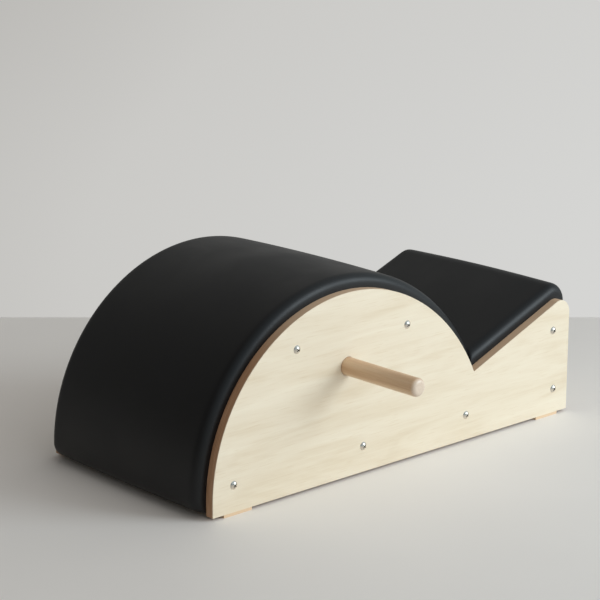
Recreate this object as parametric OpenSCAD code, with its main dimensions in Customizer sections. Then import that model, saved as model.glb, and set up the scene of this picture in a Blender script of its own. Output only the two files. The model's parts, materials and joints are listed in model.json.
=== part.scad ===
// Pilates spine corrector: an upholstered barrel and a sloping step seat
// between two plywood side panels, with a pull-out wooden handle on each side.
//
// +X runs from the barrel's toe to the back of the step, +Z is up, and the
// origin is on the floor under the middle of the body. Outlines are drawn in
// the panel plane, whose zero is the lower toe corner of a side panel.

/* [Side panels] */
// Length of a side panel
panel_length = 820; // [760:1:900]
// Outer face of one panel to outer face of the other
overall_width = 412; // [340:1:460]
// Thickness of the veneered plywood panels
panel_t = 16; // [12:0.5:20]
// Radius of the barrel over its toe and top
front_r = 289; // [270:1:300]
// Flatter radius of the barrel's fall towards the step
back_r = 342; // [320:1:370]
// Height of the front arc's centre above the panel's lower edge
arc_centre_h = 18; // [10:1:30]
// Direction of the ray on which the two barrel arcs meet
arc_join_angle = 66; // [60:1:72]
// Slope of the step
step_slope = 22; // [18:0.5:24]
// Height of the sharp rear corner of the step above the panel's lower edge
rear_h = 216; // [205:1:230]
// Rounding of a panel's rear upper corner
rear_corner_r = 25; // [15:1:35]

/* [Feet] */
// Length of a foot strip
foot_length = 56; // [40:1:80]
// Thickness of a foot strip
foot_h = 5; // [3:0.5:8]
// Toe end of the panel to the near end of the front feet
foot_front_inset = 22; // [5:1:40]
// Back end of the panel to the near end of the rear feet
foot_rear_inset = 25; // [5:1:40]

/* [Core] */
// Thickness of the three inner ribs
rib_t = 15; // [12:0.5:18]
// Thickness of the bent barrel deck and the flat step deck
deck_t = 9; // [6:0.5:9.5]
// How far the decks lie below the panels' edges
deck_drop = 10; // [8:0.5:14]
// Side of the square cross rails
rail_side = 32; // [24:1:32]
// Thickness of the back board
back_board_t = 12; // [9:0.5:12]
// How far the back board stands in from the panels' back ends
back_board_inset = 9; // [8:0.5:12]
// Thickness of the bottom board
bottom_board_t = 6; // [4:0.5:8]

/* [Cushions] */
// Height of the cushions above the panels' edges at mid width
pad_rise = 25; // [20:0.5:30]
// How much lower a cushion's sides are than its middle
pad_crown = 2.5; // [1:0.5:4]
// Rounding along a cushion's long edges
pad_edge_r = 16; // [10:0.5:20]
// Thickness of the vinyl covers
cover_t = 1.3; // [1:0.1:1.8]
// Depth of the covers' side skirts below the panels' edges
skirt_depth = 36; // [28:0.5:38]
// Overhang of the step cushion behind the panels
pad_overhang = 9; // [6:0.5:14]
// Rounding of the step cushion's rear upper edge
pad_rear_r = 30; // [22:1:34]
// Lower end of the step cushion's rear fall, above the panels' lower edge
pad_rear_low = 180; // [172:1:186]

/* [Handles] */
// Diameter of a handle
handle_d = 30; // [26:0.5:34]
// How far a seated handle stands out of its panel
handle_reach = 160; // [120:1:200]
// How deep a seated handle goes in, from the panel's outer face
handle_depth = 72; // [60:1:74]
// Handle's distance from the toe end of the panel
handle_x = 281; // [265:1:300]
// Handle's height above the panel's lower edge
handle_z = 186; // [165:1:190]
// Side of the square socket block
socket_side = 60; // [50:1:64]
// Thickness of the socket block
socket_t = 45; // [44:0.5:60]

/* [Screws] */
// Diameter of the panel screws' heads
screw_head_d = 14; // [11:0.5:16]
// Height of the panel screws' domed heads
screw_head_h = 3.6; // [2.5:0.1:4.5]
// Diameter of the panel screws' shanks
screw_d = 5; // [4:0.1:6]
// Length of the panel screws under the head
screw_length = 68; // [50:1:80]
// Shank diameter of the small countersunk screws
small_screw_d = 4; // [3:0.1:4.5]
// Length of the small countersunk screws
small_screw_length = 28; // [20:1:34]

/* [Fits] */
// Gap round a handle where it passes through the panel and rib
handle_gap = 0.6; // [0.3:0.1:1]
// Running clearance of a handle in its socket block
socket_clear = 0.1; // [0.02:0.01:0.1]
// Clearance of a screw in its pilot hole
pilot_clear = 0.05; // [0.02:0.01:0.2]
// Clearance of a panel screw in the panel
screw_clear = 0.3; // [0.1:0.1:0.6]
// Gap between soft pieces and what they lie on
soft_gap = 0.3; // [0.1:0.05:0.4]
// Gap between a rail and its hole in the centre rib
rail_clear = 0.3; // [0.1:0.1:0.6]

/* [Hidden] */
$fn = 96;
big = 2000;

front_c = [front_r, arc_centre_h];
back_c = front_c + (front_r - back_r) * [cos(arc_join_angle), sin(arc_join_angle)];
slope_dir = [cos(step_slope), sin(step_slope)];
slope_n = [-sin(step_slope), cos(step_slope)];
rear_corner = [panel_length, rear_h];

// Height of the step's slope at x, moved out square to itself by out
function step_z(x, out = 0) =
    rear_h + (x - panel_length) * tan(step_slope) + out / cos(step_slope);

// Where the back arc meets the step's slope
notch =
    let (w = rear_corner - back_c, b = w * slope_dir)
    rear_corner + slope_dir * (-b + sqrt(b * b - w * w + pow(back_r, 2)));
notch_dir = notch - back_c;
notch_angle = atan2(notch_dir[1], notch_dir[0]);
// The valley plane halves the corner between the barrel and the step
valley_angle = (notch_angle + 90 + step_slope) / 2;
valley_n = [sin(valley_angle), -cos(valley_angle)];

inner_half = overall_width / 2 - panel_t;
cover_half = inner_half - soft_gap;
core_half = cover_half - cover_t - soft_gap;
rib_inner = core_half - rib_t;
rib_drop = deck_drop + deck_t;
rear_x = panel_length + pad_overhang;
mid_x = (rear_x - pad_rise) / 2;
board_face_x = panel_length - back_board_inset;
rib_rear_x = board_face_x - back_board_t;
// Lower ends of the barrel deck and its cushion, above the panels' edge
toe_z = 5;
toe_pad_z = toe_z - cover_t - soft_gap;

// Screws and rails share these places
rail_inset = 43;
rail_low_z = 44;
rail_toe_x = 42;
rail_rear_inset = 42;
rail_rear_z = 152;
rail_middle_x = 316;
rail_notch_x = 558;
rail_left_angle = 118.4;
rail_right_angle = 59.6;
rail_rear_x = rib_rear_x - rail_side / 2;
rail_rear_top = [panel_length - rail_rear_inset, rail_rear_z];
upper_rail_r = front_r - rail_inset;

// Each rail: name, centre in the panel plane, turn
RAILS = [
    ["toe_rail", [rail_toe_x, rail_low_z], 0],
    ["barrel_left_rail", polar(front_c, upper_rail_r, rail_left_angle), rail_left_angle],
    ["barrel_right_rail", polar(front_c, upper_rail_r, rail_right_angle), rail_right_angle],
    ["middle_rail", [rail_middle_x, rail_low_z], 0],
    ["notch_rail", [rail_notch_x, rail_low_z], 0],
    ["rear_lower_rail", [rail_rear_x, rail_low_z], 0],
    ["rear_upper_rail", rail_rear_top, 0]
];

veneer = "#e8dfc6";
ply = "#c9ae86";
pine = "#d9bf93";
dowel = "#c79f75";
vinyl = "#26282b";
foam = "#d8d2b8";
nickel = "#b9b7b2";

function polar(c, r, a) = c + r * [cos(a), sin(a)];
function arc(c, r, a0, a1, n) = [for (i = [0:n]) polar(c, r, a0 + (a1 - a0) * i / n)];
function reversed(l) = [for (i = [len(l) - 1:-1:0]) l[i]];

// Panel-plane outline set up between two y planes of the object
module slab(y0, y1) {
    translate([-mid_x, y1, foot_h]) rotate([90, 0, 0]) linear_extrude(y1 - y0) children();
}

// Cylinder-like piece along y, at a place in the panel plane
module across(p, y) {
    translate([p[0] - mid_x, y, p[1] + foot_h]) rotate([90, 0, 0]) children();
}

module far_side() {
    mirror([0, 1, 0]) children();
}

// Half plane to the left of the ray from p at an angle
module left_of(p, angle) {
    translate(p) rotate(angle) translate([-big, 0]) square([2 * big, big]);
}

module right_of(p, angle) {
    translate(p) rotate(angle) translate([-big, -big]) square([2 * big, big]);
}

// Half plane above a height
module above(h) {
    translate([-big, h]) square([2 * big, big]);
}

// How far the flatter arc stands proud where the arcs meet, for a clean edge
arc_lip = 0.05;

// Side view of the barrel, moved out by out and cut off at height low
module barrel_area(out, low) {
    intersection() {
        translate(front_c) circle(r = front_r + out);
        above(arc_centre_h);
    }
    intersection() {
        translate(back_c) circle(r = back_r + out + arc_lip);
        right_of(front_c, arc_join_angle);
        above(low);
    }
    translate([-out, low]) square([1.5 * front_r, arc_centre_h - low]);
}

// Side view of the step, with its slope moved out by out
module step_area(out, low, rear) {
    left = notch[0] - rail_side / 2;
    polygon([[left, low], [rear, low], [rear, step_z(rear, out)], [left, step_z(left, out)]]);
}

// Centre of the rounding that a rear edge at x and the slope share
function rear_round_c(x, out, r) = [x - r, step_z(x - r, out - r)];

module panel_outline() {
    c = rear_round_c(panel_length, 0, rear_corner_r);
    tangent = c + slope_n * rear_corner_r;
    left = notch[0] - rail_side / 2;
    barrel_area(0, 0);
    polygon([[left, 0], [panel_length, 0], [panel_length, c[1]], c, tangent, [left, step_z(left)]]);
    intersection() {
        translate(c) circle(r = rear_corner_r);
        polygon([c, c + [big, 0], c + [big, big], c + big * slope_n]);
    }
}

module rib_outline() {
    barrel_area(-rib_drop, bottom_board_t);
    step_area(-rib_drop, bottom_board_t, rib_rear_x);
}

// Side panel with holes for the handle and the seven screws
module side_panel() {
    color(veneer) difference() {
        slab(-overall_width / 2, -inner_half) panel_outline();
        across([handle_x, handle_z], -inner_half + 1)
            cylinder(d = handle_d + 2 * handle_gap, h = panel_t + 2);
        for (rail = RAILS)
            across(rail[1], -inner_half + 1)
                cylinder(d = screw_d + 2 * screw_clear, h = panel_t + 2);
    }
}

module foot(x) {
    color(dowel) translate([x - mid_x, -overall_width / 2, 0])
        cube([foot_length, panel_t, foot_h]);
}

front_foot_x = foot_front_inset;
rear_foot_x = panel_length - foot_rear_inset - foot_length;

// Evenly spaced places between two ends
function spaced(first, last, count) =
    [for (i = [0:count - 1]) first + (last - first) * i / (count - 1)];

// Places of the small screws: angles on the barrel, distances and heights
barrel_screw_angles = [172, 146, 104, 78];
back_screw_angle = 44;
step_screw_inset = 46;
step_screw_x = spaced(notch[0] + step_screw_inset, rib_rear_x - step_screw_inset, 3);
bottom_screw_inset = 64;
bottom_screw_x = spaced(rib_drop + bottom_screw_inset, rib_rear_x - bottom_screw_inset, 5);
back_screw_z = [28, 110];
small_screw_y = core_half - rib_t / 2;

// Countersunk screw with its head's flat top at the origin, pointing down -z
module small_screw(gap = 0) {
    head_r = small_screw_d;
    r = small_screw_d / 2 + gap;
    rotate_extrude()
        polygon([[0, gap > 0 ? 1 : 0], [head_r + gap, gap > 0 ? 1 : 0], [head_r + gap, 0],
            [r, -small_screw_d / 2 - gap], [r, -small_screw_length + 2 - gap],
            [0, -small_screw_length - gap]]);
}

// Turns a screw that points down -z to point against a panel-plane direction
module driven(p, y, angle) {
    translate([p[0] - mid_x, y, p[1] + foot_h]) rotate([0, 90 - angle, 0]) children();
}

module on_both_ribs() {
    children();
    far_side() children();
}

module barrel_deck_screw_set(gap = 0) {
    on_both_ribs() {
        for (a = barrel_screw_angles)
            driven(polar(front_c, front_r - deck_drop, a), -small_screw_y, a) small_screw(gap);
        driven(polar(back_c, back_r - deck_drop, back_screw_angle), -small_screw_y,
            back_screw_angle) small_screw(gap);
    }
}

module step_deck_screw_set(gap = 0) {
    on_both_ribs() for (x = step_screw_x)
        driven([x, step_z(x, -deck_drop)], -small_screw_y, 90 + step_slope) small_screw(gap);
}

module bottom_board_screw_set(gap = 0) {
    on_both_ribs() for (x = bottom_screw_x)
        driven([x, 0], -small_screw_y, -90) small_screw(gap);
}

module back_board_screw_set(gap = 0) {
    on_both_ribs() for (z = back_screw_z)
        driven([board_face_x, z], -small_screw_y, 0) small_screw(gap);
}

module small_screw_holes() {
    barrel_deck_screw_set(pilot_clear);
    step_deck_screw_set(pilot_clear);
    bottom_board_screw_set(pilot_clear);
    back_board_screw_set(pilot_clear);
}

// Outer rib of the core, drilled for the handle and all the screws
module core_rib() {
    color(ply) difference() {
        slab(-core_half, -rib_inner) rib_outline();
        across([handle_x, handle_z], -rib_inner + 1)
            cylinder(d = handle_d + 2 * handle_gap, h = rib_t + 2);
        for (rail = RAILS)
            across(rail[1], -rib_inner + 1)
                cylinder(d = screw_d + 2 * pilot_clear, h = rib_t + 2);
        small_screw_holes();
    }
}

module rail_section(centre, turn, gap = 0) {
    side = rail_side + 2 * gap;
    translate(centre) rotate(turn) square(side, center = true);
}

module centre_rib() {
    color(ply) difference() {
        slab(-rib_t / 2, rib_t / 2) rib_outline();
        for (rail = RAILS)
            slab(-rib_t, rib_t) rail_section(rail[1], rail[2], rail_clear);
    }
}

// Depth of the pilot hole that a panel screw makes in a rail's end
rail_bite = screw_length - (overall_width / 2 - rib_inner);

module cross_rail(index) {
    rail = RAILS[index];
    color(pine) difference() {
        slab(-rib_inner, rib_inner) rail_section(rail[1], rail[2]);
        on_both_ribs() across(rail[1], -rib_inner + rail_bite + 1)
            cylinder(d = screw_d + 2 * pilot_clear, h = rail_bite + 2);
    }
}

// Bent plywood from the toe over the barrel to the valley plane
module barrel_deck() {
    color(ply) difference() {
        slab(-core_half, core_half) intersection() {
            difference() {
                barrel_area(-deck_drop, toe_z);
                barrel_area(-rib_drop, toe_z - 1);
            }
            left_of(notch, valley_angle);
        }
        barrel_deck_screw_set(pilot_clear);
    }
}

module step_deck() {
    color(ply) difference() {
        slab(-core_half, core_half) intersection() {
            difference() {
                step_area(-deck_drop, 0, board_face_x);
                step_area(-rib_drop, -1, big);
            }
            right_of(notch, valley_angle);
        }
        step_deck_screw_set(pilot_clear);
    }
}

// Upright board that closes the back, under the step deck's end
module back_board() {
    color(veneer) difference() {
        slab(-core_half, core_half)
            polygon([[rib_rear_x, bottom_board_t], [board_face_x, bottom_board_t],
                [board_face_x, step_z(board_face_x, -rib_drop)],
                [rib_rear_x, step_z(rib_rear_x, -rib_drop)]]);
        back_board_screw_set(pilot_clear);
    }
}

// Gap between the bottom board and the inside of the barrel deck
bottom_board_gap = 2;

module bottom_board() {
    left = rib_drop + bottom_board_gap;
    color(ply) difference() {
        slab(-core_half, core_half) translate([left, 0])
            square([board_face_x - left, bottom_board_t]);
        bottom_board_screw_set(pilot_clear);
    }
}

// Roundings of the barrel cushion's toe, the step cushion's lower rear edge,
// the edges beside the valley and the corners of the cushions' ends
toe_r = 24;
rear_low_r = 6;
valley_r = 12;
end_corner_r = 6;
// Underside of the cushions, measured out from the panels' edges
seat = soft_gap - deck_drop;
// Share of the long edges' drop that the step cushion's thin rear fall takes
rear_share = 0.5;
// The toe's rounding takes at most this share of the cushion's thickness there
toe_share = 0.9;
edge_steps = 4;
crown_steps = 3;

// One half of a cushion's width, from its side to its middle: each entry is
// the distance from the middle, the drop of the top and the inset of the ends.
// A skin lies that far inside the cushion's outer surface.
function half_columns(skin, steps) =
    let (edge = pad_edge_r - skin, flat = cover_half - pad_edge_r)
    concat(
        [for (i = [0:steps])
            let (a = 90 - 90 * i / steps)
            [flat + edge * sin(a), pad_crown + edge * (1 - cos(a)), end_corner_r * (1 - cos(a))]],
        [for (i = [1:crown_steps])
            let (t = 1 - i / crown_steps)
            [flat * t, pad_crown * t * t, 0]]);

// Columns across the whole width, the near side first
function columns(skin, steps) =
    let (h = half_columns(skin, steps))
    concat([for (c = h) [-c[0], c[1], c[2]]],
        [for (i = [len(h) - 2:-1:0]) h[i]]);

// Side view of the barrel cushion's skin: under the toe, over both arcs and
// down into the valley. drop lowers the top and end draws the ends in.
function barrel_line(drop, end, skin) =
    let (
        rise = pad_rise - drop - skin,
        low = toe_pad_z + skin,
        r = min(toe_r - skin, toe_share * (rise - seat)),
        toe_reach = front_r + rise - r,
        toe_a = 180 - asin((low + r - arc_centre_h) / toe_reach),
        rv = valley_r - skin,
        reach = back_r + rise - rv,
        off = soft_gap + end + skin + rv + (back_c - notch) * valley_n,
        fall = valley_angle - 90 + acos(-off / reach),
        vc = polar(back_c, reach, fall)
    )
    concat(
        [[rib_drop - soft_gap - skin, low]],
        arc(polar(front_c, toe_reach, toe_a), r, 270, toe_a, 3),
        [for (i = [1:19]) polar(front_c, front_r + rise,
            toe_a + (arc_join_angle - toe_a) * i / 19)],
        [for (i = [1:6]) polar(back_c, back_r + rise,
            arc_join_angle + (fall - arc_join_angle) * i / 6)],
        [for (i = [1:3]) polar(vc, rv, fall + (valley_angle - 90 - fall) * i / 3)],
        [barrel_foot(soft_gap + end + skin)]);

// Feet of the cushions' ends in the valley, out from the valley plane by out.
// They stand at a level measured out from the panels' edges, just above the decks.
function barrel_foot(out, level = seat) =
    let (reach = back_r + level, off = out + (back_c - notch) * valley_n)
    polar(back_c, reach, valley_angle - 90 + acos(-off / reach));

function step_foot(out, level = seat) =
    let (start = rear_corner + slope_n * level)
    start + slope_dir * (out - (start - notch) * valley_n) / (slope_dir * valley_n);

// Side view of the step cushion's skin, from the valley to the rear fall
function step_line(drop, end, skin) =
    let (
        rise = pad_rise - drop - skin,
        rv = valley_r - skin,
        r = pad_rear_r - drop * rear_share - skin,
        rl = rear_low_r - skin,
        back = rear_x - drop * rear_share - skin,
        low = pad_rear_low + skin,
        c = rear_round_c(back, rise, r),
        side = (rear_corner + slope_n * (rise - rv) - notch) * valley_n,
        run = (soft_gap + end + skin + rv - side) / (slope_dir * valley_n),
        vc = rear_corner + slope_n * (rise - rv) + slope_dir * run
    )
    concat(
        [step_foot(soft_gap + end + skin)],
        [for (i = [0:4]) polar(vc, rv,
            90 + valley_angle + (step_slope - valley_angle) * i / 4)],
        [(vc + rv * slope_n + c + r * slope_n) / 2],
        arc(c, r, 90 + step_slope, 0, 7),
        arc([back - rl, low + rl], rl, 0, -90, 3),
        [[board_face_x + soft_gap + skin, low]]);

// How far a skirt's end stands clear of its cushion's end
rim_inset = 2 * cover_t;

// Lower edge of a cover's side skirt, run from the line's end to its start
barrel_rim = concat(
    [barrel_foot(soft_gap + end_corner_r + rim_inset, -skirt_depth)],
    [for (i = [1:4]) polar(back_c, back_r - skirt_depth,
        notch_angle + (arc_join_angle - notch_angle) * i / 4)],
    [for (i = [1:8]) polar(front_c, front_r - skirt_depth,
        arc_join_angle + (180 - arc_join_angle) * i / 8)],
    [[skirt_depth, toe_pad_z + cover_t]]);

step_rim = [
    [board_face_x, pad_rear_low + rim_inset],
    step_foot(soft_gap + end_corner_r + rim_inset, -skirt_depth)
];

// Pairs of triangles between two rings of equal length
function strip(a, b) = [for (i = [0:len(a) - 2]) for (f = [[a[i], b[i], b[i + 1]],
    [a[i], b[i + 1], a[i + 1]]]) f];
function flipped(faces) = [for (f = faces) reversed(f)];

// Triangles over a flat wall between two lines of points, each by the shorter cross line
function wall(p, a, b, i = 0, j = 0) =
    let (a_left = i < len(a) - 1, b_left = j < len(b) - 1)
    !a_left && !b_left ? []
    : !b_left || (a_left && norm(p[a[i + 1]] - p[b[j]]) < norm(p[a[i]] - p[b[j + 1]]))
        ? concat([[a[i], a[i + 1], b[j]]], wall(p, a, b, i + 1, j))
        : concat([[b[j + 1], b[j], a[i]]], wall(p, a, b, i, j + 1));

// Points of one skin: every column's line, then the near and far rims
function skin_points(lines, cols, rim, half) = concat(
    [for (j = [0:len(cols) - 1]) for (p = lines[j]) [p[0] - mid_x, cols[j][0], p[1] + foot_h]],
    [for (s = [-1, 1]) for (p = rim) [p[0] - mid_x, s * half, p[1] + foot_h]]);

// Faces of one skin with its side walls, whose points start at base in p
function skin_faces(p, m, n, k, base) =
    let (
        col = [for (j = [0:n - 1]) [for (i = [0:m - 1]) base + j * m + i]],
        near_rim = [for (i = [k - 1:-1:0]) base + n * m + i],
        far_rim = [for (i = [k - 1:-1:0]) base + n * m + k + i]
    )
    concat(
        [for (j = [0:n - 2]) for (f = strip(col[j], col[j + 1])) f],
        wall(p, col[0], near_rim), flipped(wall(p, col[n - 1], far_rim)));

// Vinyl skin with skirts: an outer and an inner skin joined along the rims
module cover(outer, inner, outer_cols, inner_cols, rim) {
    m = len(outer[0]);
    n = len(outer);
    k = len(rim);
    size = m * n + 2 * k;
    edge = function (base) concat(
        [for (j = [0:n - 1]) base + j * m],
        reversed([for (i = [0:k - 1]) base + n * m + k + i]),
        [for (j = [n - 1:-1:0]) base + j * m + m - 1],
        [for (i = [0:k - 1]) base + n * m + i],
        [base]);
    points = concat(skin_points(outer, outer_cols, rim, cover_half),
        skin_points(inner, inner_cols, rim, cover_half - cover_t));
    polyhedron(points,
        concat(skin_faces(points, m, n, k, 0), flipped(skin_faces(points, m, n, k, size)),
            strip(edge(0), edge(size))));
}

// Solid cushion: closed side views, a top and then an underside, set across its width
module cushion(tops, under, cols) {
    t = len(tops[0]);
    m = t + len(under);
    n = len(tops);
    ring = [for (j = [0:n - 1]) [for (i = [0:m]) j * m + i % m]];
    points = [for (j = [0:n - 1]) for (p = concat(tops[j], under))
        [p[0] - mid_x, cols[j][0], p[1] + foot_h]];
    side = function (j) wall(points, [for (i = [0:t - 1]) j * m + i],
        [for (i = [m - 1:-1:t]) j * m + i]);
    polyhedron(points,
        concat([for (j = [0:n - 2]) for (f = strip(ring[j], ring[j + 1])) f],
            side(0), flipped(side(n - 1))));
}

outer_cols = columns(0, edge_steps);
inner_cols = columns(cover_t, edge_steps);
foam_skin = cover_t + soft_gap;
foam_cols = columns(foam_skin, edge_steps / 2);

module barrel_cover() {
    color(vinyl) cover(
        [for (c = outer_cols) barrel_line(c[1], c[2], 0)],
        [for (c = inner_cols) barrel_line(c[1], c[2], cover_t)],
        outer_cols, inner_cols, barrel_rim);
}

module step_cover() {
    color(vinyl) cover(
        [for (c = outer_cols) step_line(c[1], c[2], 0)],
        [for (c = inner_cols) step_line(c[1], c[2], cover_t)],
        outer_cols, inner_cols, step_rim);
}

// Arc of straight runs that touch a circle from outside
function round_arc(c, r, a0, a1, n) = arc(c, r / cos((a1 - a0) / n / 2), a0, a1, n);

// Foam lies on the deck, from the toe to the valley
module barrel_foam() {
    foot = barrel_foot(soft_gap + foam_skin) - back_c;
    back_arc = round_arc(back_c, back_r + seat, atan2(foot[1], foot[0]), arc_join_angle, 12);
    front_arc = round_arc(front_c, front_r + seat, arc_join_angle, 180, 19);
    under = concat(
        [for (i = [1:12]) back_arc[i]],
        [for (i = [1:19]) front_arc[i]],
        [[-seat, toe_pad_z + foam_skin]]);
    color(foam) cushion(
        [for (c = foam_cols)
            [for (i = [1:len(barrel_line(0, 0, 0)) - 1]) barrel_line(c[1], c[2], foam_skin)[i]]],
        under, foam_cols);
}

module step_foam() {
    corner = [board_face_x + soft_gap, step_z(board_face_x + soft_gap, seat)];
    color(foam) cushion([for (c = foam_cols) step_line(c[1], c[2], foam_skin)], [corner],
        foam_cols);
}

// Turned handle with a soft outer end, the seated end first
module handle() {
    r = handle_d / 2;
    soft = r / 2;
    chamfer = 1.5;
    length = handle_depth + handle_reach;
    color(dowel) across([handle_x, handle_z], -overall_width / 2 + handle_depth)
        rotate_extrude() {
            polygon([[0, 0], [r - chamfer, 0], [r, chamfer], [r, length - soft],
                [r - soft, length - soft], [r - soft, length], [0, length]]);
            translate([r - soft, length - soft]) intersection() {
                circle(r = soft);
                square(soft);
            }
        }
}

// Hardwood block behind a rib, with a blind hole for the handle
module socket_block() {
    floor_y = -overall_width / 2 + handle_depth + soft_gap;
    color(pine) difference() {
        slab(-rib_inner, -rib_inner + socket_t)
            translate([handle_x, handle_z]) square(socket_side, center = true);
        across([handle_x, handle_z], floor_y)
            cylinder(d = handle_d + 2 * socket_clear, h = handle_depth);
    }
}

// Domed screw with a cross recess, its head's underside at the origin
module panel_screw() {
    dome_r = (pow(screw_head_d / 2, 2) + pow(screw_head_h, 2)) / (2 * screw_head_h);
    recess = screw_head_d * 0.5;
    slot = screw_head_d * 0.11;
    difference() {
        union() {
            intersection() {
                translate([0, 0, screw_head_h - dome_r]) sphere(r = dome_r);
                cylinder(d = screw_head_d, h = screw_head_h);
            }
            translate([0, 0, -screw_length + screw_d]) cylinder(d = screw_d, h = screw_length - screw_d);
            translate([0, 0, -screw_length])
                cylinder(d1 = screw_d / 4, d2 = screw_d, h = screw_d);
        }
        for (turn = [45, 135])
            rotate(turn) translate([-recess / 2, -slot / 2, screw_head_h / 2])
                cube([recess, slot, screw_head_h]);
    }
}

module panel_screw_set() {
    color(nickel) for (rail = RAILS)
        across(rail[1], -overall_width / 2) panel_screw();
}

side_panel();  // near_side_panel
far_side() side_panel();  // far_side_panel
foot(front_foot_x);  // near_front_foot
foot(rear_foot_x);  // near_rear_foot
far_side() foot(front_foot_x);  // far_front_foot
far_side() foot(rear_foot_x);  // far_rear_foot
core_rib();  // near_core_rib
centre_rib();
far_side() core_rib();  // far_core_rib
cross_rail(0);  // toe_rail
cross_rail(1);  // barrel_left_rail
cross_rail(2);  // barrel_right_rail
cross_rail(3);  // middle_rail
cross_rail(4);  // notch_rail
cross_rail(5);  // rear_lower_rail
cross_rail(6);  // rear_upper_rail
barrel_deck();
step_deck();
back_board();
bottom_board();
barrel_foam();
step_foam();
barrel_cover();
step_cover();
handle();  // near_handle
far_side() handle();  // far_handle
socket_block();  // near_socket_block
far_side() socket_block();  // far_socket_block
panel_screw_set();  // near_panel_screws
far_side() panel_screw_set();  // far_panel_screws
color(nickel) barrel_deck_screw_set();  // barrel_deck_screws
color(nickel) step_deck_screw_set();  // step_deck_screws
color(nickel) back_board_screw_set();  // back_board_screws
color(nickel) bottom_board_screw_set();  // bottom_board_screws
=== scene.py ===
# %% [markdown]
# # Pilates spine corrector
#
# A padded barrel and a sloping step seat between two veneered plywood panels, with a round
# wooden handle standing out of each side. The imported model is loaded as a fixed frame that
# already holds every rigid piece at its real size. What is left for this script is the looks:
# the camera, the two upholstered cushions and every surface's finish. All lengths are metres.

# %% Load the frame
import json
import math

import bpy
import numpy as np
from mathutils import Matrix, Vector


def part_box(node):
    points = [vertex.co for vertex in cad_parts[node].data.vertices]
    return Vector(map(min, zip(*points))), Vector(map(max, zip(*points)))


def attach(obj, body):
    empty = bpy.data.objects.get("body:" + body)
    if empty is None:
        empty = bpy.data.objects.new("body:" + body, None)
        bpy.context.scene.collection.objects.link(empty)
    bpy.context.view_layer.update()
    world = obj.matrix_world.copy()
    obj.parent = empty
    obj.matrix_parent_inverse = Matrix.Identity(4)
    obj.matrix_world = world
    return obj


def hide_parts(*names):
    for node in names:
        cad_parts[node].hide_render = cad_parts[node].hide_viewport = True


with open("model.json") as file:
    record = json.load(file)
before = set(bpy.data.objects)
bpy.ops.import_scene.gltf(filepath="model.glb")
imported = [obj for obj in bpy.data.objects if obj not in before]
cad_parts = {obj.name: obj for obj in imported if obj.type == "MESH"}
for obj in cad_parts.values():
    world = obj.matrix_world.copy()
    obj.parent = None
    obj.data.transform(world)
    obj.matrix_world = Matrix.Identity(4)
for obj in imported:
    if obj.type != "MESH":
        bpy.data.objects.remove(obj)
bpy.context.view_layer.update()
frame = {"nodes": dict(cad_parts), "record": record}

# %% [markdown]
# ## The camera
#
# The view looks down from the toe end's left. Its focal length, place and turn were worked out
# from the photograph's straight edges, arcs and screw places, so the frame's own sizes project
# where the photograph shows them. The lens is long, which keeps perspective mild.

# %% Camera
CAMERA_PLACE = (-2.1532, -2.3457, 1.0719)
CAMERA_LENS_MM = 116.15
SENSOR_MM = 36.0
LOOK_DOWN = math.radians(14.67)
LOOK_RIGHT = math.radians(42.04)


def make_camera():
    """A level camera, turned right of +Y and tipped down below the horizon."""
    data = bpy.data.cameras.new("photo_camera")
    data.sensor_fit = "HORIZONTAL"
    data.sensor_width = SENSOR_MM
    data.lens = CAMERA_LENS_MM
    data.clip_end = 60.0
    camera = bpy.data.objects.new("photo_camera", data)
    camera.location = CAMERA_PLACE
    camera.rotation_euler = (math.pi / 2 - LOOK_DOWN, 0.0, -LOOK_RIGHT)
    bpy.context.scene.collection.objects.link(camera)
    bpy.context.scene.camera = camera
    return camera


camera = make_camera()
bpy.context.scene.view_settings.view_transform = "Standard"
print("camera", tuple(camera.location), "lens", round(camera.data.lens, 2), "mm")

# %% [markdown]
# ## Sizes shared by the cushions
#
# The panels' outline is two arcs and a slope, drawn in the panel's own plane with its zero at
# the lower toe corner. The cushions follow the same outline at a greater radius, so their
# surfaces are written with the same arcs. Where the frame can tell a size, it is read from there.

# %% Outline sizes
panel_low, panel_high = (np.array(v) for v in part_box("near_side_panel"))
PANEL_X = panel_low[0]
PANEL_Z = panel_low[2]
PANEL_LENGTH = panel_high[0] - panel_low[0]
INNER_HALF = -panel_high[1]

FRONT_R = 0.289
BACK_R = 0.342
ARC_CENTRE_H = 0.018
JOIN_ANGLE = math.radians(66)
SLOPE = math.radians(22)
REAR_H = 0.216

DECK_DROP = 0.010
GAP = 0.0003
RISE = 0.025
CROWN = 0.0025
EDGE_R = 0.016
END_CORNER_R = 0.006
VALLEY_R = 0.012
TOE_R = 0.024
TOE_SHARE = 0.9
TOE_LOW = 0.0034
REAR_LOW_R = 0.006
OVERHANG = 0.009
REAR_R = 0.030
REAR_LOW = 0.180
REAR_SHARE = 0.5
BOARD_INSET = 0.009
COVER_HALF = INNER_HALF - GAP

EDGE_COLUMNS = 7
FLAT_COLUMNS = 44
TOE_POINTS = 9
FRONT_POINTS = 92
BACK_POINTS = 27
VALLEY_POINTS = 6
DECK_WALL_POINTS = 4
DECK_FRONT_POINTS = 96
SLOPE_POINTS = 34
REAR_POINTS = 10
REAR_LOW_POINTS = 5
BOARD_POINTS = 7

front_c = np.array([FRONT_R, ARC_CENTRE_H])
back_c = front_c + (FRONT_R - BACK_R) * np.array([math.cos(JOIN_ANGLE), math.sin(JOIN_ANGLE)])
slope_dir = np.array([math.cos(SLOPE), math.sin(SLOPE)])
slope_n = np.array([-math.sin(SLOPE), math.cos(SLOPE)])
rear_corner = np.array([PANEL_LENGTH, REAR_H])


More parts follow.
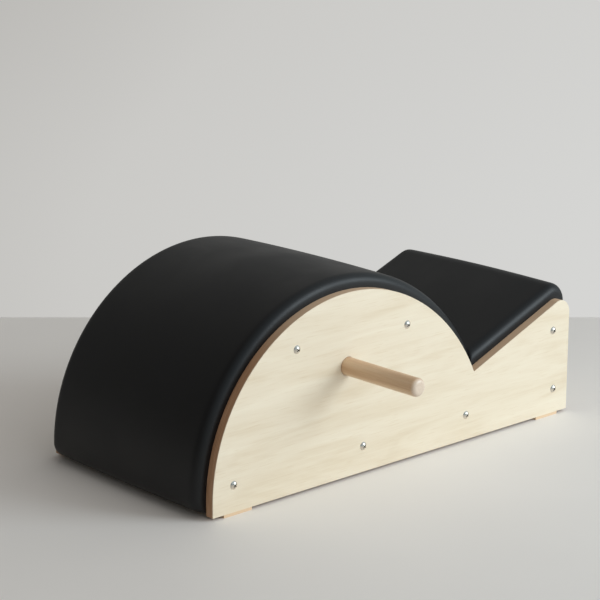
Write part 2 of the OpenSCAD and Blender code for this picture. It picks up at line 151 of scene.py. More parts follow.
def find_notch():
    """Where the back arc meets the slope: the far root of a line cutting a circle."""
    w = rear_corner - back_c
    b = w @ slope_dir
    return rear_corner + slope_dir * (-b + math.sqrt(b * b - w @ w + BACK_R**2))


notch = find_notch()
notch_angle = math.atan2(*(notch - back_c)[::-1])
valley_angle = (notch_angle + math.pi / 2 + SLOPE) / 2
valley_n = np.array([math.sin(valley_angle), -math.cos(valley_angle)])
seat = GAP - DECK_DROP
print("panel length", round(PANEL_LENGTH, 4), "notch at", notch.round(4),
      "valley leans", round(math.degrees(valley_angle), 2), "degrees")

# %% [markdown]
# ## How a cushion's surface is worked out
#
# A cushion is a stack of side views set across its width. Towards each long side the top
# drops along a quarter circle, and across the middle it crowns by a few millimetres. So each
# side view is the same curve with its own `drop`, and the whole surface is one array of points
# with the columns across the width in its first axis. No loop visits a point.

# %% Helpers for side views
def across(count_edge, count_flat):
    """Columns over the width: their distance from the middle, the drop of the top and the
    inset of the ends. The side rounding drops by its radius times one minus a cosine, and the
    flat part drops by the crown times the squared share of its half width."""
    flat = COVER_HALF - EDGE_R
    a = np.linspace(math.pi / 2, 0, count_edge)
    side_y = flat + EDGE_R * np.sin(a)
    side_drop = CROWN + EDGE_R * (1 - np.cos(a))
    side_end = END_CORNER_R * (1 - np.cos(a))
    t = np.linspace(1, -1, count_flat)[1:-1]
    y = np.concatenate([-side_y, -flat * t, side_y[::-1]])
    drop = np.concatenate([side_drop, CROWN * t * t, side_drop[::-1]])
    end = np.concatenate([side_end, 0 * t, side_end[::-1]])
    return y, drop, end


def arc(centre, radius, start, stop, count):
    """Points at even angles on an arc; centre, radius and angles may each be one per column."""
    t = np.linspace(0, 1, count)
    start, stop = (np.atleast_1d(v)[:, None] for v in (start, stop))
    angle = start + (stop - start) * t
    spoke = np.stack([np.cos(angle), np.sin(angle)], -1)
    return np.atleast_2d(centre)[:, None, :] + np.atleast_1d(radius)[:, None, None] * spoke


def straight(start, stop, count):
    """Points at even steps on a straight run, its two ends left out."""
    t = np.linspace(0, 1, count + 2)[1:-1, None]
    return np.atleast_2d(start)[:, None, :] * (1 - t) + np.atleast_2d(stop)[:, None, :] * t


def joined(columns, *runs):
    """Runs of points laid end to end, each widened to one row per column."""
    wide = [np.broadcast_to(r, (columns,) + r.shape[1:]) for r in runs]
    return np.concatenate(wide, axis=1)


def step_z(x, out=0.0):
    """Height of the slope at x, moved out square to itself."""
    return REAR_H + (x - PANEL_LENGTH) * math.tan(SLOPE) + out / math.cos(SLOPE)


print("columns across a cushion", len(across(EDGE_COLUMNS, FLAT_COLUMNS)[0]))

# %% [markdown]
# ## The barrel cushion's side view
#
# From a flat lip under the toe the curve turns up round a 24 mm radius, or less where the
# cushion is thin. It runs over the two arcs and turns down into the valley round a 12 mm radius.
# Its underside follows the bent deck. Top and underside have the same number of points, so the
# flat side walls between them are plain rows of quads.

# %% Barrel side view
def barrel_foot(out):
    """Point on the deck's arc that lies out from the valley plane, by the angle whose cosine
    gives that distance."""
    reach = BACK_R + seat
    angle = valley_angle - math.pi / 2 + np.arccos(-(out + (back_c - notch) @ valley_n) / reach)
    return back_c + reach * np.stack([np.cos(angle), np.sin(angle)], -1)


def barrel_loops(drop, end):
    """Closed side views: over the top from toe to valley, then back along the deck."""
    n = len(drop)
    rise = RISE - drop
    reach = BACK_R + rise - VALLEY_R
    off = GAP + end + VALLEY_R + (back_c - notch) @ valley_n
    fall = valley_angle - math.pi / 2 + np.arccos(-off / reach)
    turn_c = back_c + reach[:, None] * np.stack([np.cos(fall), np.sin(fall)], -1)
    toe_r = np.minimum(TOE_R, TOE_SHARE * (rise - seat))
    toe_reach = FRONT_R + rise - toe_r
    toe_turn = math.pi - np.arcsin((TOE_LOW + toe_r - ARC_CENTRE_H) / toe_reach)
    toe_c = front_c + toe_reach[:, None] * np.stack([np.cos(toe_turn), np.sin(toe_turn)], -1)
    toe_low = np.stack([toe_c[:, 0], np.full(n, TOE_LOW)], -1)
    foot = barrel_foot(GAP + end)
    wall_top = turn_c + VALLEY_R * valley_n
    top = joined(
        n,
        straight(np.array([[-seat, TOE_LOW]]), toe_low, 3),
        arc(toe_c, toe_r, math.radians(270), toe_turn, TOE_POINTS),
        arc(front_c, FRONT_R + rise, toe_turn, JOIN_ANGLE, FRONT_POINTS)[:, 1:],
        arc(back_c, BACK_R + rise, JOIN_ANGLE, fall, BACK_POINTS)[:, 1:],
        arc(turn_c, VALLEY_R, fall, valley_angle - math.pi / 2, VALLEY_POINTS)[:, 1:],
        straight(wall_top, foot, 3),
    )
    left = top.shape[1] - DECK_WALL_POINTS - DECK_FRONT_POINTS
    foot_angle = np.arctan2(*(foot - back_c).T[::-1])
    under = joined(
        n,
        straight(np.array([[-seat, TOE_LOW]]), np.array([[-seat, ARC_CENTRE_H]]),
                 DECK_WALL_POINTS),
        arc(front_c, FRONT_R + seat, math.pi, JOIN_ANGLE, DECK_FRONT_POINTS),
        arc(back_c, BACK_R + seat, JOIN_ANGLE, foot_angle, left + 1)[:, 1:],
    )
    return np.concatenate([top, under[:, ::-1]], axis=1)


# %% [markdown]
# ## The step cushion's side view
#
# It starts at its foot in the valley, turns round 12 mm, runs straight up the slope and falls
# over a soft 30 mm rounding behind the panels. The rear fall is thin, so it takes only half
# of the sides' drop.

# %% Step side view
def step_foot(out):
    """Point on the deck's slope that lies out from the valley plane."""
    start = rear_corner + slope_n * seat
    run = (out - (start - notch) @ valley_n) / (slope_dir @ valley_n)
    return start + slope_dir * run[:, None]


def step_loops(drop, end):
    """Closed side views: up from the valley, over the rear and back along deck and board."""
    n = len(drop)
    rise = RISE - drop
    rear_r = REAR_R - drop * REAR_SHARE
    back = PANEL_LENGTH + OVERHANG - drop * REAR_SHARE
    board_x = PANEL_LENGTH - BOARD_INSET + GAP
    rear_c = np.stack([back - rear_r, step_z(back - rear_r, rise - rear_r)], -1)
    base = rear_corner + slope_n * (rise - VALLEY_R)[:, None]
    run = (GAP + end + VALLEY_R - (base - notch) @ valley_n) / (slope_dir @ valley_n)
    turn_c = base + slope_dir * run[:, None]
    low_c = np.stack([back - REAR_LOW_R, np.full(n, REAR_LOW + REAR_LOW_R)], -1)
    foot = step_foot(GAP + end)
    slope_start = turn_c + VALLEY_R * slope_n
    slope_stop = rear_c + rear_r[:, None] * slope_n
    top = joined(
        n,
        foot[:, None, :],
        straight(foot, turn_c - VALLEY_R * valley_n, 2),
        arc(turn_c, VALLEY_R, valley_angle + math.pi / 2, math.pi / 2 + SLOPE, VALLEY_POINTS),
        straight(slope_start, slope_stop, SLOPE_POINTS),
        arc(rear_c, rear_r, math.pi / 2 + SLOPE, 0.0, REAR_POINTS),
        straight(rear_c + rear_r[:, None] * [1, 0], low_c + [REAR_LOW_R, 0], 3),
        arc(low_c, REAR_LOW_R, 0.0, -math.pi / 2, REAR_LOW_POINTS),
        straight(low_c - [0, REAR_LOW_R], np.array([[board_x, REAR_LOW]]), 1),
    )
    corner = np.array([[board_x, step_z(board_x, seat)]])
    under = joined(
        n,
        straight(foot, corner, top.shape[1] - BOARD_POINTS - 1),
        corner[:, None, :],
        straight(corner, np.array([[board_x, REAR_LOW]]), BOARD_POINTS),
    )
    return np.concatenate([top, under[:, ::-1]], axis=1)


# %% [markdown]
# ## From side views to a mesh
#
# Each side view is a ring of points. Neighbouring rings are joined by quads, and each flat
# side wall is a strip that joins point `i` of the top to its partner on the underside. The
# index arrays are built whole, then handed to the mesh in one call.

# %% Mesh builders
def cushion_mesh(name, loops, y):
    """Mesh from side views at distances y. The panel plane's x and height become the object's
    X and Z after adding the panel's corner."""
    n, m, _ = loops.shape
    points = np.empty((n, m, 3))
    points[..., 0] = loops[..., 0] + PANEL_X
    points[..., 1] = y[:, None]
    points[..., 2] = loops[..., 1] + PANEL_Z
    index = np.arange(n * m).reshape(n, m)
    ahead = np.roll(index, -1, axis=1)
    shell = np.stack([index[:-1], index[1:], ahead[1:], ahead[:-1]], -1).reshape(-1, 4)
    i = np.arange(m // 2 - 1)
    wall = np.stack([i, i + 1, m - 2 - i, m - 1 - i], -1)
    faces = np.concatenate([shell, wall, (index[-1, 0] + wall)[:, ::-1]])
    mesh = bpy.data.meshes.new(name)
    mesh.from_pydata(points.reshape(-1, 3).tolist(), [], faces.tolist())
    mesh.validate()
    return mesh


def add_piece(name, mesh):
    """A smooth-shaded object at the origin, linked into the scene."""
    piece = bpy.data.objects.new(name, mesh)
    bpy.context.scene.collection.objects.link(piece)
    mesh.shade_smooth()
    return piece


def volume(mesh):
    """Signed volume by summing every triangle's determinant over six."""
    mesh.calc_loop_triangles()
    tri = np.empty(len(mesh.loop_triangles) * 3, dtype=int)
    mesh.loop_triangles.foreach_get("vertices", tri)
    co = np.empty(len(mesh.vertices) * 3)
    mesh.vertices.foreach_get("co", co)
    p = co.reshape(-1, 3)[tri.reshape(-1, 3)]
    return float(np.einsum("ij,ij->i", p[:, 0], np.cross(p[:, 1], p[:, 2])).sum() / 6)


# %% Make the cushions
y, drop, end = across(EDGE_COLUMNS, FLAT_COLUMNS)
barrel_rings = barrel_loops(drop, end)
step_rings = step_loops(drop, end)
barrel_cushion = add_piece("barrel_cushion", cushion_mesh("barrel_cushion", barrel_rings, y))
step_cushion = add_piece("step_cushion", cushion_mesh("step_cushion", step_rings, y))
for piece in (barrel_cushion, step_cushion):
    if volume(piece.data) < 0:
        piece.data.flip_normals()
    print(piece.name, len(piece.data.vertices), "points,", round(volume(piece.data) * 1000, 2),
          "litres")

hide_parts("barrel_cover", "barrel_foam")
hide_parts("step_cover", "step_foam")
for piece in (barrel_cushion, step_cushion):
    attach(piece, "frame")

# %% [markdown]
# ## Stuffing the cushions
#
# Real vinyl is stretched over foam and stapled out of sight, so its free skin swells a little
# and evenly. A cloth simulation with pressure inside gives that swelling. The underside, the
# skirts, the toe and the ends in the valley stay pinned. Foam bridges short folds, so the
# movement is averaged between neighbours. Then it is scaled to a few millimetres, because the
# cover is tight, and kept in the mesh, so that no simulation is left.

# %% Cloth simulation
SWELL_PRESSURE = 4.0
SWELL_REACH = 0.003
SWELL_FRAMES = 20
EVEN_PASSES = 60
BARREL_FREE = (22, 128)
STEP_FREE = (5, 56)


def held_points(rings, free):
    """True where a point is pinned: the outermost columns and, in each column, every point
    that isn't between the first and last free places of the top."""
    held = np.ones(rings.shape[:2], dtype=bool)
    held[1:-1, free[0]:free[1]] = False
    return held


def evened(way, held, passes):
    """Each free point takes the mean movement of its four neighbours, pinned points stay."""
    for _ in range(passes):
        around = (np.roll(way, 1, 0) + np.roll(way, -1, 0)
                  + np.roll(way, 1, 1) + np.roll(way, -1, 1)) / 4
        way = np.where(held[:, :, None], 0.0, around)
    return way


def swell(piece, held):
    """Inflate the free points, even the movement, scale its longest step down to the reach
    and add it. Returns the longest step before scaling."""
    mesh = piece.data
    rest = np.empty(len(mesh.vertices) * 3)
    mesh.vertices.foreach_get("co", rest)
    group = piece.vertex_groups.new(name="held")
    group.add(np.flatnonzero(held.ravel()).tolist(), 1.0, "REPLACE")
    cloth = piece.modifiers.new("stuffing", "CLOTH")
    cloth.settings.vertex_group_mass = "held"
    cloth.settings.use_pressure = True
    cloth.settings.uniform_pressure_force = SWELL_PRESSURE
    cloth.settings.effector_weights.gravity = 0.0
    cloth.collision_settings.use_collision = False
    for step in range(1, SWELL_FRAMES + 1):
        bpy.context.scene.frame_set(step)
    shape = piece.evaluated_get(bpy.context.evaluated_depsgraph_get()).data
    moved = np.empty_like(rest)
    shape.vertices.foreach_get("co", moved)
    way = evened((moved - rest).reshape(*held.shape, 3), held, EVEN_PASSES).ravel()
    far = np.linalg.norm(way.reshape(-1, 3), axis=1).max()
    piece.modifiers.remove(cloth)
    piece.vertex_groups.clear()
    mesh.vertices.foreach_set("co", rest + way * min(1.0, SWELL_REACH / max(far, 1e-9)))
    mesh.update()
    bpy.context.scene.frame_set(1)
    return far


for piece, rings, free in ((barrel_cushion, barrel_rings, BARREL_FREE),
                           (step_cushion, step_rings, STEP_FREE)):
    far = swell(piece, held_points(rings, free))
    print(piece.name, "swelled by", round(far * 1000, 1), "mm before scaling")
for piece in (barrel_cushion, step_cushion):
    smooth = piece.modifiers.new("smooth", "SUBSURF")
    smooth.levels = smooth.render_levels = 1

# %% [markdown]
# ## Finishes: shared helpers
#
# Every finish is a node material that reads Object coordinates. All pieces keep their place in
# their mesh, so Object coordinates are the object's own metres, and one pattern runs on over
# neighbouring pieces at its real scale.

# %% Material helpers
def srgb(red, green, blue):
    """Linear colour from 0 to 255 display values, by the display curve's power law."""
    c = np.array([red, green, blue]) / 255
    return (*np.where(c < 0.04045, c / 12.92, ((c + 0.055) / 1.055) ** 2.4).tolist(), 1.0)


def set_range(node, low, high, start, stop):
    """The two ranges of a Map Range node."""
    for key, number in (("From Min", low), ("From Max", high), ("To Min", start), ("To Max", stop)):
        node.inputs[key].default_value = number


class Finish:
    """A material with its shader and short ways to add and join nodes."""

    def __init__(self, name, roughness, metallic=0.0, specular=0.5):
        self.material = bpy.data.materials.new(name)
        self.material.use_nodes = True
        self.tree = self.material.node_tree
        self.shader = self.tree.nodes["Principled BSDF"]
        self.shader.inputs["Roughness"].default_value = roughness
        self.shader.inputs["Metallic"].default_value = metallic
        self.shader.inputs["Specular IOR Level"].default_value = specular
        self.coords = self.add("ShaderNodeTexCoord").outputs["Object"]

    def add(self, kind, **settings):
        node = self.tree.nodes.new(kind)
        for key, value in settings.items():
            setattr(node, key, value)
        return node

    def join(self, source, target):
        self.tree.links.new(source, target)

    def stretched(self, scale, place=(0, 0, 0)):
        """Object coordinates moved and stretched."""
        node = self.add("ShaderNodeMapping")
        node.inputs["Location"].default_value = place
        node.inputs["Scale"].default_value = scale
        self.join(self.coords, node.inputs["Vector"])
        return node.outputs["Vector"]

    def noise(self, vector, scale, detail=4.0, distortion=0.0, roughness=0.5):
        node = self.add("ShaderNodeTexNoise")
        node.inputs["Scale"].default_value = scale
        node.inputs["Detail"].default_value = detail
        node.inputs["Distortion"].default_value = distortion
        node.inputs["Roughness"].default_value = roughness
        self.join(vector, node.inputs["Vector"])
        return node.outputs["Fac"]

    def ramp(self, value, *stops):
        """Colours by value, each stop a place and a colour."""
        node = self.add("ShaderNodeValToRGB")
        ramp = node.color_ramp
        while len(ramp.elements) < len(stops):
            ramp.elements.new(0.5)
        for element, (place, colour) in zip(ramp.elements, stops):
            element.position = place
            element.color = colour
        self.join(value, node.inputs["Fac"])
        return node.outputs["Color"]

    def maths(self, operation, *values):
        """One step of arithmetic on sockets or numbers."""
        node = self.add("ShaderNodeMath", operation=operation)
        for slot, value in zip(node.inputs, values):
            if isinstance(value, (int, float)):
                slot.default_value = value
            else:
                self.join(value, slot)
        return node.outputs[0]

    def weighed(self, first, second, share):
        """The first value by its share and the second by the rest, added."""
        return self.maths("ADD", self.maths("MULTIPLY", first, share),
                          self.maths("MULTIPLY", second, 1 - share))

    def between(self, value, low, high, start=0.0, stop=1.0):
        """Value carried smoothly from one range to another."""
        node = self.add("ShaderNodeMapRange", interpolation_type="SMOOTHSTEP")
        set_range(node, low, high, start, stop)
        self.join(value, node.inputs["Value"])
        return node.outputs["Result"]

    def mix(self, factor, first, second):
        """Two colours mixed by a factor."""
        node = self.add("ShaderNodeMix", data_type="RGBA")
        for number, value in ((0, factor), (6, first), (7, second)):
            slot = node.inputs[number]
            if isinstance(value, (int, float, tuple)):
                slot.default_value = value
            else:
                self.join(value, slot)
        return node.outputs[2]

    def part(self, vector, axis):
        """One coordinate of a vector."""
        node = self.add("ShaderNodeSeparateXYZ")
        self.join(vector, node.inputs[0])
        return node.outputs[axis]

    def colour(self, value):
        self.join(value, self.shader.inputs["Base Color"])

    def roughness(self, value):
        self.join(value, self.shader.inputs["Roughness"])

    def bump(self, height, distance, strength=1.0):
        """Surface relief from a height, its full height given as a distance."""
        node = self.add("ShaderNodeBump")
        node.inputs["Distance"].default_value = distance
        node.inputs["Strength"].default_value = strength
        self.join(height, node.inputs["Height"])
        self.join(node.outputs["Normal"], self.shader.inputs["Normal"])


print("material helpers ready")

# %% [markdown]
# ## Black vinyl
#
# Upholstery vinyl is nearly black with a satin skin and a fine pebbled grain of about a
# millimetre. Cells give the pebbles and a finer noise breaks them up. The roughness varies a
# little, so broad reflections look like stretched vinyl and not like plastic.

# %% Black vinyl
VINYL = (srgb(9, 9, 10), srgb(15, 15, 17))
PEBBLE_SCALE = 780.0
FINE_SCALE = 2100.0
FINE_SHARE = 0.35
PEBBLE_HEIGHT = 0.00012


def black_vinyl():
    f = Finish("black_vinyl_satin", 0.45, specular=0.34)
    pebbles = f.add("ShaderNodeTexVoronoi", feature="SMOOTH_F1")
    pebbles.inputs["Scale"].default_value = PEBBLE_SCALE
    f.join(f.coords, pebbles.inputs["Vector"])
    fine = f.noise(f.coords, FINE_SCALE, detail=3.0)
    broad = f.noise(f.coords, 9.0, detail=3.0, distortion=0.4)
    f.colour(f.ramp(broad, (0.3, VINYL[0]), (0.7, VINYL[1])))
    f.roughness(f.between(broad, 0.25, 0.75, 0.4, 0.5))
    height = f.maths("ADD", pebbles.outputs["Distance"], f.maths("MULTIPLY", fine, FINE_SHARE))
    f.bump(height, PEBBLE_HEIGHT, strength=0.7)
    return f.material


# %% [markdown]
# ## Veneer on the side panels
#
# The face is pale veneer with grain along the panel's length: slow along X, quick along Z.
# A broad figure, fine streaks and small dark pores are mixed. Where the surface faces along
# the panel's plane it is the sealed brown edge of the plywood, with faint plies. Where the edge
# faces up it is painted paler, a painted highlight of the light from above, and a pale line
# where the edge meets the face is a painted highlight on its rounded arris.

# %% Panel veneer
VENEER = (srgb(208, 192, 163), srgb(226, 216, 195), srgb(236, 230, 212))
PORE = srgb(205, 186, 154)
SEALED_EDGE = (srgb(160, 120, 90), srgb(188, 148, 116), srgb(202, 166, 136))
# Painted highlight: the pale tone that up-facing edges are mixed towards.
UPLIT_EDGE_HIGHLIGHT = srgb(222, 200, 172)
# Painted highlight: the thin pale line along the arris where edge meets face, and its width.
ARRIS_HIGHLIGHT = srgb(228, 214, 190)
OUTER_HALF = -panel_low[1]
ARRIS_LINE_START = 0.0016
ARRIS_LINE_FULL = 0.0009
FACE_GRAIN = (2.6, 1.0, 17.0)
FACE_RELIEF = 0.00015
PLY_SCALE = 95.0
FIGURE_SHARE = 0.7
PLY_SHARE = 0.25


def edge_mask(f):
    """One on surfaces that face along the panel's plane, zero on its flat faces."""
    geometry = f.add("ShaderNodeNewGeometry")
    flat = f.maths("ABSOLUTE", f.part(geometry.outputs["Normal"], 1))
    return f.maths("LESS_THAN", flat, 0.7)


def grain_face(f, dark, middle, light, along):
    """Wood face colour: a broad figure and fine streaks, mixed."""
    figure = f.noise(f.stretched(along), 1.5, detail=5.0, distortion=1.4, roughness=0.45)
    streaks = f.noise(f.stretched((along[0] * 3, 3.0, along[2] * 12)), 1.0, detail=6.0,
                      distortion=0.2, roughness=0.6)
    mixed = f.weighed(figure, streaks, FIGURE_SHARE)
    return f.ramp(mixed, (0.16, dark), (0.5, middle), (0.84, light)), mixed


def panel_veneer():
    f = Finish("panel_veneer_satin", 0.5, specular=0.35)
    face, grain = grain_face(f, *VENEER, FACE_GRAIN)
    pores = f.noise(f.stretched((30, 1.0, 520)), 1.0, detail=2.0, roughness=0.4)
    face = f.mix(f.between(pores, 0.58, 0.76, 0.0, 0.3), face, PORE)
    distance = f.maths("ABSOLUTE", f.part(f.coords, 1))
    plies = f.add("ShaderNodeTexWave", wave_type="BANDS", bands_direction="Y", wave_profile="SIN")
    plies.inputs["Scale"].default_value = PLY_SCALE
    plies.inputs["Distortion"].default_value = 0.6
    f.join(f.coords, plies.inputs["Vector"])
    smear = f.noise(f.stretched((9, 120, 9)), 3.0)
    tone = f.weighed(plies.outputs["Fac"], smear, PLY_SHARE)
    edge = f.ramp(tone, (0.25, SEALED_EDGE[0]), (0.6, SEALED_EDGE[1]), (0.85, SEALED_EDGE[2]))
    # Edges that face up are mixed towards a pale colour: a painted highlight of the light from
    # above.
    upward = f.part(f.add("ShaderNodeNewGeometry").outputs["Normal"], 2)
    edge = f.mix(f.between(upward, 0.7, 0.97, 0.0, 0.6), edge, UPLIT_EDGE_HIGHLIGHT)
    # A thin pale line along the arris where the edge meets the face: a painted highlight.
    arris_glint = f.between(distance, OUTER_HALF - ARRIS_LINE_START, OUTER_HALF - ARRIS_LINE_FULL)
    edge = f.mix(arris_glint, edge, ARRIS_HIGHLIGHT)
    f.colour(f.mix(edge_mask(f), face, edge))
    f.roughness(f.between(grain, 0.3, 0.7, 0.54, 0.44))
    f.bump(grain, FACE_RELIEF, strength=0.5)
    return f.material


# %% [markdown]
# ## Turned wood, strips, plywood and pine
#
# A dowel is cut from a board, so its growth rings pass through it as nearly flat layers:
# streaks on its side and arcs on its end. A solid pattern of rings round a distant centre gives
# both at once, and its rounded end is painted pale: a painted highlight where it catches the
# window. The feet, inner plywood and pine use the panel's grain with other colours. The back
# board has the panels' veneer with its grain lying across the width.

# %% Other woods
handle_low, handle_high = (np.array(v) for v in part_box("near_handle"))
HANDLE_TIP = -handle_low[1]
RING_CENTRE = (handle_low + handle_high) / 2 * [1, 0, 1] + [0.05, 0, 0.09]
RING_SPACING = 0.0035
WAVE_PERIODS = 20
RING_SHARE = 0.3
# Painted highlight on the rounded tip: its pale colour and how far it reaches.
TIP_HIGHLIGHT = srgb(216, 200, 182)
TIP_HIGHLIGHT_INSIDE = 0.006
TIP_HIGHLIGHT_OUTSIDE = 0.001
RAGGED_BY = 0.003
DOWEL_RELIEF = 0.0001
PLAIN_RELIEF = 0.0002


def ringed_wood(name, dark, middle, light, roughness):
    """Wood whose rings run along Y, seen as streaks on a side and arcs on an end, and whose
    tip carries a painted pale highlight."""
    f = Finish(name, roughness, specular=0.55)
    rings = f.add("ShaderNodeTexWave", wave_type="RINGS", rings_direction="Y", wave_profile="SIN")
    rings.inputs["Scale"].default_value = 1 / (RING_SPACING * WAVE_PERIODS)
    rings.inputs["Distortion"].default_value = 1.2
    rings.inputs["Detail"].default_value = 3.0
    rings.inputs["Detail Scale"].default_value = 1.5
    f.join(f.stretched((1, 0.12, 1), place=-RING_CENTRE), rings.inputs["Vector"])
    streaks = f.noise(f.stretched((400, 14, 400)), 1.0, distortion=0.2)
    tone = f.weighed(rings.outputs["Fac"], streaks, RING_SHARE)
    side = f.ramp(tone, (0.2, dark), (0.5, middle), (0.8, light))
    # The tip is mixed towards a pale colour: a painted highlight on the rounded end.
    tip = f.maths("ABSOLUTE", f.part(f.coords, 1))
    ragged = f.maths("ADD", tip, f.maths("MULTIPLY", streaks, RAGGED_BY))
    tip_glint = f.between(ragged, HANDLE_TIP - TIP_HIGHLIGHT_INSIDE, HANDLE_TIP + TIP_HIGHLIGHT_OUTSIDE)
    f.colour(f.mix(tip_glint, side, TIP_HIGHLIGHT))
    f.roughness(f.between(streaks, 0.3, 0.7, roughness + 0.05, roughness - 0.05))
    f.bump(streaks, DOWEL_RELIEF, strength=0.4)
    return f.material


def plain_wood(name, dark, middle, light, along, roughness):
    """Wood with straight grain, which runs along the axis whose stretch factor is least."""
    f = Finish(name, roughness, specular=0.3)
    face, grain = grain_face(f, dark, middle, light, along)
    f.colour(face)
    f.roughness(f.between(grain, 0.3, 0.7, roughness + 0.06, roughness - 0.04))
    f.bump(grain, PLAIN_RELIEF, strength=0.5)
    return f.material


# %% [markdown]
# ## Metal
#
# The panel screws are nickel plated and show the room in their domes. Their cross recesses are
# dark because little light reaches the bottom, and that shade is painted into the finish's
# colour, darker by how enclosed a point is.

# %% Screw metal
# Colour of the painted shade in the cross recesses, and the reach of that shade.
PAINTED_RECESS_SHADE = srgb(40, 37, 34)
RECESS_SHADE_REACH = 0.003
PLATE_RELIEF = 0.00003


def plated_metal(name, dark, light, roughness):
    f = Finish(name, roughness, metallic=1.0)
    # Ambient occlusion mixes in the recess colour: painted shade in the cross recesses.
    closed = f.add("ShaderNodeAmbientOcclusion")
    closed.inputs["Distance"].default_value = RECESS_SHADE_REACH
    mottle = f.noise(f.coords, 900.0, detail=3.0)
    clean = f.ramp(mottle, (0.3, dark), (0.7, light))
    f.colour(f.mix(f.between(closed.outputs["AO"], 0.35, 0.95), PAINTED_RECESS_SHADE, clean))
    f.roughness(f.between(mottle, 0.2, 0.8, roughness + 0.08, roughness - 0.05))
    f.bump(f.noise(f.coords, 2500.0, detail=2.0), PLATE_RELIEF, strength=0.4)
    return f.material


# %% Give every node its finish
finishes = {
    "black_vinyl": black_vinyl(),
    "panel_veneer": panel_veneer(),
    "handle_wood": ringed_wood("handle_beech", srgb(200, 164, 128), srgb(219, 186, 150),
                               srgb(232, 206, 174), 0.3),
    "foot_strip": plain_wood("foot_beech", srgb(204, 176, 142), srgb(222, 196, 164),
                             srgb(232, 212, 184), (3.0, 30.0, 40.0), 0.55),
    "plywood": plain_wood("raw_plywood", srgb(178, 148, 112), srgb(200, 172, 136),
                          srgb(214, 190, 156), (2.0, 22.0, 26.0), 0.65),
    "pine": plain_wood("raw_pine", srgb(196, 160, 112), srgb(220, 190, 146),
                       srgb(232, 208, 168), (30.0, 1.5, 30.0), 0.6),
    "bright_screw": plated_metal("nickel_plate", srgb(202, 195, 184), srgb(232, 225, 214), 0.18),
    "zinc_screw": plated_metal("zinc_plate", srgb(160, 160, 158), srgb(190, 190, 186), 0.38),
}
back_veneer = plain_wood("back_veneer", *VENEER, (17.0, 2.6, 17.0), 0.5)
slot_of = {s["node"]: s["material_slot"] for s in frame["record"]["subparts"]}
for name, node in frame["nodes"].items():
    finish = back_veneer if name == "back_board" else finishes.get(slot_of[name])
    if finish:
        node.data.materials.clear()
        node.data.materials.append(finish)
for piece in (barrel_cushion, step_cushion):
    piece.data.materials.append(finishes["black_vinyl"])
print("finishes", sorted(finishes))

# %% [markdown]
# ## Floor, wall and light
#
# A plain pale floor with a faint sheen carries the object's shadow. The wall behind is a plane
# that only the camera sees, and only from its front, so it neither changes the light nor hides
# the object from behind. One large soft window on the right and a sky that fades away from it
# light everything.

# %% Floor and wall
FLOOR_REACH = 14.0
WALL_DISTANCE = 3.95
WALL_HALF = 1.3
WALL_HEIGHT = 6.0
FADE_LEFT = 1.1
FADE_RIGHT = 0.9
view_flat = np.array([math.sin(LOOK_RIGHT), math.cos(LOOK_RIGHT), 0.0])
view_side = np.array([view_flat[1], -view_flat[0], 0.0])
wall_middle = np.array([CAMERA_PLACE[0], CAMERA_PLACE[1], 0.0]) + view_flat * WALL_DISTANCE


def stage_sheet(name, corner, side_a, side_b, material):
    """A flat sheet from one corner and its two sides."""
    points = [corner, corner + side_a, corner + side_a + side_b, corner + side_b]
    mesh = bpy.data.meshes.new(name)
    mesh.from_pydata([tuple(p) for p in points], [], [(0, 1, 2, 3)])
    mesh.materials.append(material)
    sheet = bpy.data.objects.new(name, mesh)
    bpy.context.scene.collection.objects.link(sheet)
    return sheet


def floor_finish():
    f = Finish("pale_floor", 0.6, specular=0.28)
    f.colour(f.ramp(f.noise(f.coords, 1.2), (0.3, srgb(231, 230, 228)),
                    (0.7, srgb(237, 236, 234))))
    return f.material


def wall_finish():
    """A pale glow, with painted shade that darkens it to the left, away from the window, and a
    lighter tone towards its foot; seen from the front, nothing from behind.
    """
    f = Finish("pale_wall", 1.0)
    glow = f.add("ShaderNodeEmission")
    along = f.add("ShaderNodeVectorMath", operation="DOT_PRODUCT")
    f.join(f.coords, along.inputs[0])
    along.inputs[1].default_value = tuple(view_side)
    middle = float(view_side @ wall_middle)
    # Towards the left the glow is darker: painted shade, away from the window.
    side = f.between(along.outputs["Value"], middle - FADE_LEFT, middle + FADE_RIGHT, 0.0, 0.75)
    low = f.between(f.part(f.coords, 2), 0.9, 0.1, 0.0, 0.25)
    soft = f.maths("MULTIPLY", f.noise(f.coords, 0.8, detail=2.0), 0.12)
    tone = f.maths("ADD", f.maths("ADD", side, low), soft)
    pale = f.ramp(tone, (0.06, srgb(178, 176, 172)), (0.5, srgb(203, 202, 199)),
                  (1.0, srgb(213, 213, 211)))
    f.join(pale, glow.inputs["Color"])
    clear = f.add("ShaderNodeBsdfTransparent")
    choose = f.add("ShaderNodeMixShader")
    behind = f.add("ShaderNodeNewGeometry")
    f.join(behind.outputs["Backfacing"], choose.inputs[0])
    f.join(glow.outputs[0], choose.inputs[1])
    f.join(clear.outputs[0], choose.inputs[2])
    f.join(choose.outputs[0], f.tree.nodes["Material Output"].inputs["Surface"])
    return f.material


stage_sheet("floor", np.array([-FLOOR_REACH, -FLOOR_REACH, 0.0]),
            np.array([2 * FLOOR_REACH, 0, 0]), np.array([0, 2 * FLOOR_REACH, 0]), floor_finish())
wall = stage_sheet("wall", wall_middle + view_side * WALL_HALF, -2 * view_side * WALL_HALF,
                   np.array([0, 0, WALL_HEIGHT]), wall_finish())
for ray in ("diffuse", "glossy", "transmission", "volume_scatter", "shadow"):
    setattr(wall, "visible_" + ray, False)
facing = wall.data.polygons[0].normal
if np.dot(facing, view_flat) > 0:
    wall.data.flip_normals()
print("wall stands", WALL_DISTANCE, "m from the camera")

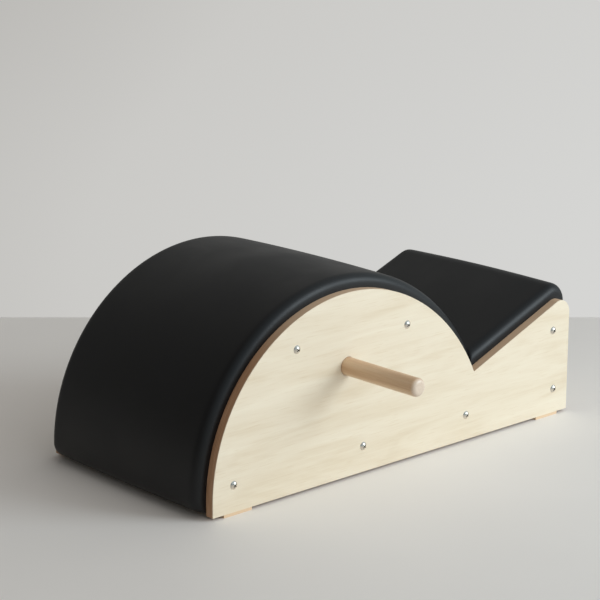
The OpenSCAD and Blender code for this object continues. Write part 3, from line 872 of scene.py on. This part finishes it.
# %% Light
SKY_GLOW = (1.0, 0.955, 0.9)
SKY_STRENGTH = (0.06, 0.97)
WALL_GLOW = (0.62, 0.62, 0.6)
WALL_STRENGTH = (0.24, 0.62)
WINDOW_GLOW = (0.44, 0.6, 0.7)
WINDOW_STRENGTH = (0.0, 0.85)
EVEN = (1.0, 1.0)
WINDOW_SIDE = (0.49, -0.83, 0.26)
WALL_SIDE = (0.96, 0.25, 0.15)
LAMP_PLACE = (1.75, -2.6, 1.4)
LAMP_TARGET = (0, 0, 0.15)
LAMP_SIZE = (1.7, 1.5)
LAMP_WATTS = 60.0
LAMP_COLOUR = (0.84, 0.94, 1.0)


def make_world():
    """The light of the room by ray: stronger on the window's side for diffuse rays, bright wall
    and bluish window for mirrored rays, plain pale grey for the camera."""
    world = bpy.data.worlds.new("studio")
    world.use_nodes = True
    tree = world.node_tree
    tree.nodes.clear()
    path = tree.nodes.new("ShaderNodeLightPath")
    direction = tree.nodes.new("ShaderNodeTexCoord")

    def glow(colour, strength, side=WINDOW_SIDE, start=-0.9, stop=0.9):
        """Background whose strength goes from its first to its second value with the cosine
        of the angle between the ray and one side of the room."""
        cosine = tree.nodes.new("ShaderNodeVectorMath")
        cosine.operation = "DOT_PRODUCT"
        cosine.inputs[1].default_value = side
        grade = tree.nodes.new("ShaderNodeMapRange")
        set_range(grade, start, stop, *strength)
        node = tree.nodes.new("ShaderNodeBackground")
        node.inputs["Color"].default_value = (*colour, 1)
        tree.links.new(direction.outputs["Generated"], cosine.inputs[0])
        tree.links.new(cosine.outputs["Value"], grade.inputs["Value"])
        tree.links.new(grade.outputs["Result"], node.inputs["Strength"])
        return node.outputs[0]

    def blend(kind, *sources):
        node = tree.nodes.new(kind)
        for source, slot in zip(sources, node.inputs):
            tree.links.new(source, slot)
        return node.outputs[0]

    light = glow(SKY_GLOW, SKY_STRENGTH, start=-0.4)
    mirrored = blend("ShaderNodeAddShader", glow(WALL_GLOW, WALL_STRENGTH, WALL_SIDE, -0.6),
                     glow(WINDOW_GLOW, WINDOW_STRENGTH, start=-0.1, stop=1.0))
    light = blend("ShaderNodeMixShader", path.outputs["Is Glossy Ray"], light, mirrored)
    pale = glow(WALL_GLOW, EVEN)
    for ray in ("Is Camera Ray", "Is Transmission Ray"):
        light = blend("ShaderNodeMixShader", path.outputs[ray], light, pale)
    out = tree.nodes.new("ShaderNodeOutputWorld")
    tree.links.new(light, out.inputs["Surface"])
    bpy.context.scene.world = world


def make_window():
    """A soft rectangular lamp that faces its target."""
    data = bpy.data.lights.new("window", "AREA")
    data.shape = "RECTANGLE"
    data.size, data.size_y = LAMP_SIZE
    data.energy = LAMP_WATTS
    data.color = LAMP_COLOUR
    lamp = bpy.data.objects.new("window", data)
    z = np.array(LAMP_PLACE) - LAMP_TARGET
    z /= np.linalg.norm(z)
    x = np.cross([0, 0, 1], z)
    x /= np.linalg.norm(x)
    turn = Matrix(np.column_stack([x, np.cross(z, x), z]).tolist())
    lamp.matrix_world = Matrix.Translation(LAMP_PLACE) @ turn.to_4x4()
    bpy.context.scene.collection.objects.link(lamp)


make_world()
make_window()
print("one window and a graded sky")
